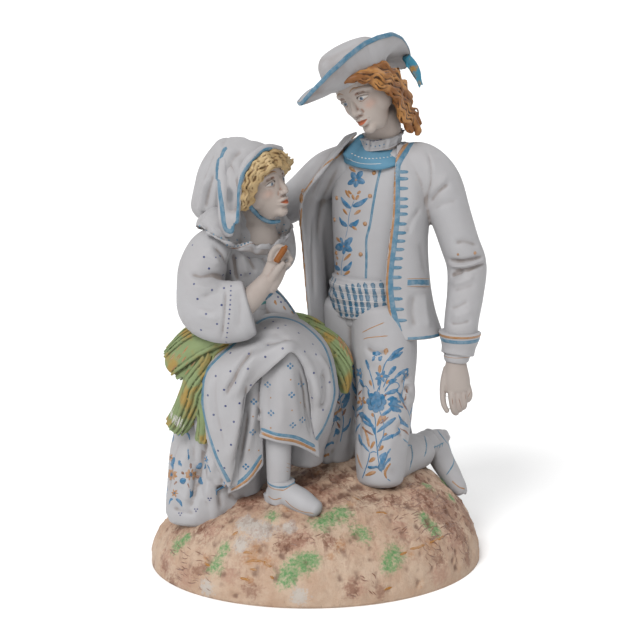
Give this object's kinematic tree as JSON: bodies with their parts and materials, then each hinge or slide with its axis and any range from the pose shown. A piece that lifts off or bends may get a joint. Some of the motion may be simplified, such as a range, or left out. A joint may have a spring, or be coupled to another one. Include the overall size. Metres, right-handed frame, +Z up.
{
  "type": "bisque porcelain figurine",
  "caption": "Painted bisque porcelain group: a youth in a hat kneels beside a seated girl in a headscarf, on an oval grassy mound with a flat underside.",
  "frame": {"origin": "middle of the bounding box, on the flat underside of the mound", "axes": "+Z up; the figures are seen from -Y, with the girl on the -X side and the youth on the +X side"},
  "size_m": [0.2294, 0.2026, 0.3636],
  "materials": {
    "bisque": "unglazed matt bisque with painted sky-blue, navy, green, peach and gold-brown enamels"
  },
  "bodies": {
    "root": {"figurine_group": "bisque"}
  },
  "joints": []
}
